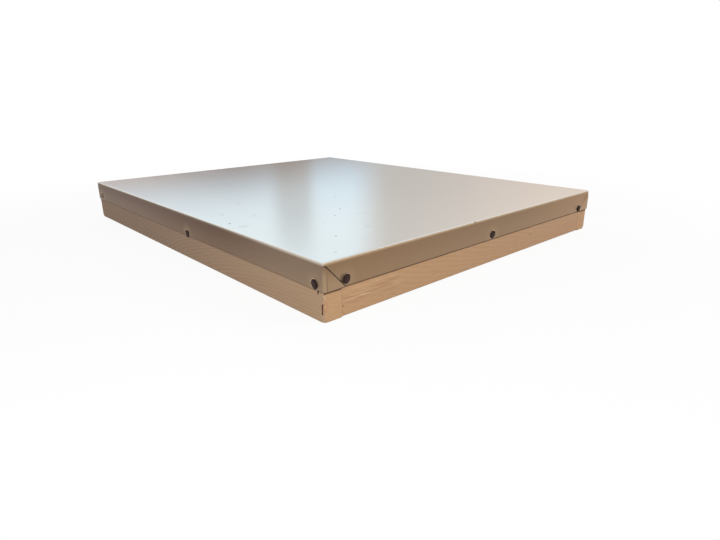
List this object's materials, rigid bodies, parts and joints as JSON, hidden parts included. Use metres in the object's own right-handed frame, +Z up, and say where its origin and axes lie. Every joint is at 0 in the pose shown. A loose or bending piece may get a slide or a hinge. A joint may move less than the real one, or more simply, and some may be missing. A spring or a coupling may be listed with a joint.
{
  "type": "telescoping hive cover",
  "caption": "Flat telescoping hive cover: a folded sheet-metal tray nailed over a plywood board and a butt-jointed pine rim, open below.",
  "frame": {"origin": "under the middle of the cover, on the plane that the long rails stand on", "axes": "+Z up through the metal roof, +Y along the long sides towards the back, +X along the short sides to the right"},
  "size_m": [0.4688, 0.564, 0.053],
  "materials": {
    "sheet_metal": "satin mill finish, folded, lightly scuffed",
    "pine": "planed bare pine with raised grain",
    "plywood": "bare plywood",
    "brown_nail": "dark brown, dull",
    "bright_nail": "bright wire",
    "staple_wire": "tarnished flat wire"
  },
  "bodies": {
    "root": {"roof_sheet": "sheet_metal", "top_board": "plywood", "left_rail": "pine", "right_rail": "pine", "front_rail": "pine", "back_rail": "pine", "front_flange_nail_1": "brown_nail", "front_flange_nail_2": "brown_nail", "front_flange_nail_3": "brown_nail", "right_flange_nail_1": "brown_nail", "right_flange_nail_2": "brown_nail", "right_flange_nail_3": "brown_nail", "back_flange_nail_1": "brown_nail", "back_flange_nail_2": "brown_nail", "back_flange_nail_3": "brown_nail", "left_flange_nail_1": "brown_nail", "left_flange_nail_2": "brown_nail", "left_flange_nail_3": "brown_nail", "left_board_nail_1": "bright_nail", "left_board_nail_2": "bright_nail", "left_board_nail_3": "bright_nail", "left_board_nail_4": "bright_nail", "right_board_nail_1": "bright_nail", "right_board_nail_2": "bright_nail", "right_board_nail_3": "bright_nail", "right_board_nail_4": "bright_nail", "front_board_nail_1": "bright_nail", "front_board_nail_2": "bright_nail", "back_board_nail_1": "bright_nail", "back_board_nail_2": "bright_nail", "front_left_staple_lower": "staple_wire", "front_left_staple_upper": "staple_wire", "front_right_staple_lower": "staple_wire", "front_right_staple_upper": "staple_wire", "back_left_staple_lower": "staple_wire", "back_left_staple_upper": "staple_wire", "back_right_staple_lower": "staple_wire", "back_right_staple_upper": "staple_wire"}
  },
  "joints": []
}
